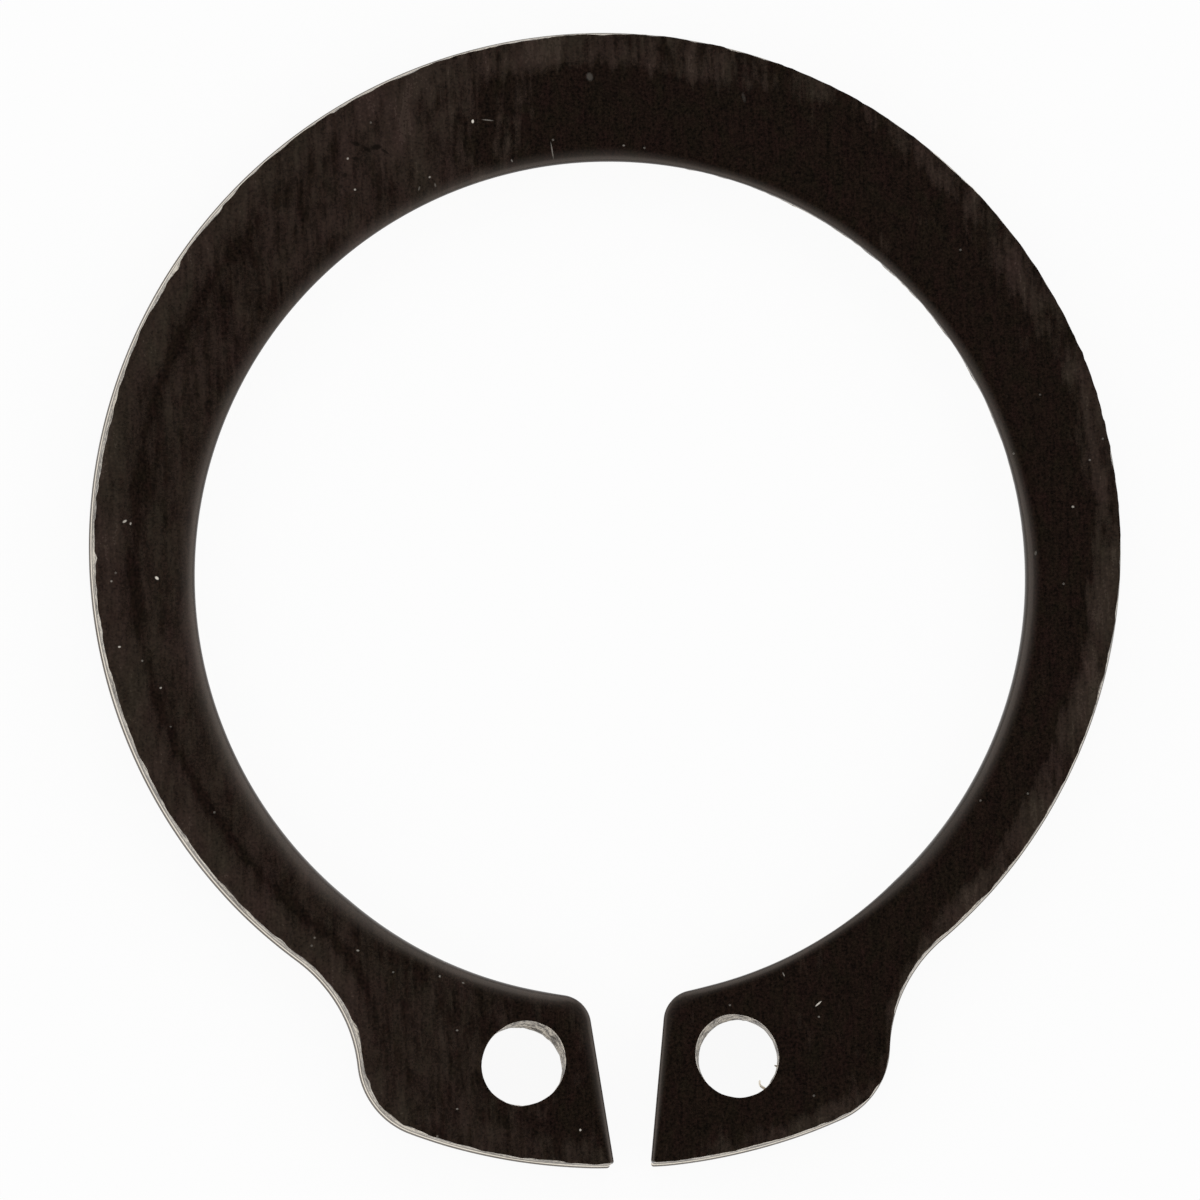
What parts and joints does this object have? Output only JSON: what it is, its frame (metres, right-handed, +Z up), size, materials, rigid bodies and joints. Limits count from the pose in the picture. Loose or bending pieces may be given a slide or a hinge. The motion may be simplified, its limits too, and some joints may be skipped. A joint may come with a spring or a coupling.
{
  "type": "external retaining ring",
  "caption": "Flat split spring-steel ring that snaps into a shaft groove, with a tapered bow, outward lugs and pliers holes, blackened with bare sheared edges.",
  "frame": {"origin": "on the bore's axis, in the ring's lower face", "axes": "+Z up along the bore's axis, through the thickness; +Y from the gap towards the bow's widest part; +X to the right-hand lug"},
  "size_m": [0.0254, 0.028, 0.0012],
  "materials": {
    "blackened_steel": "satin"
  },
  "bodies": {
    "root": {"retaining_ring": "blackened_steel"}
  },
  "joints": []
}
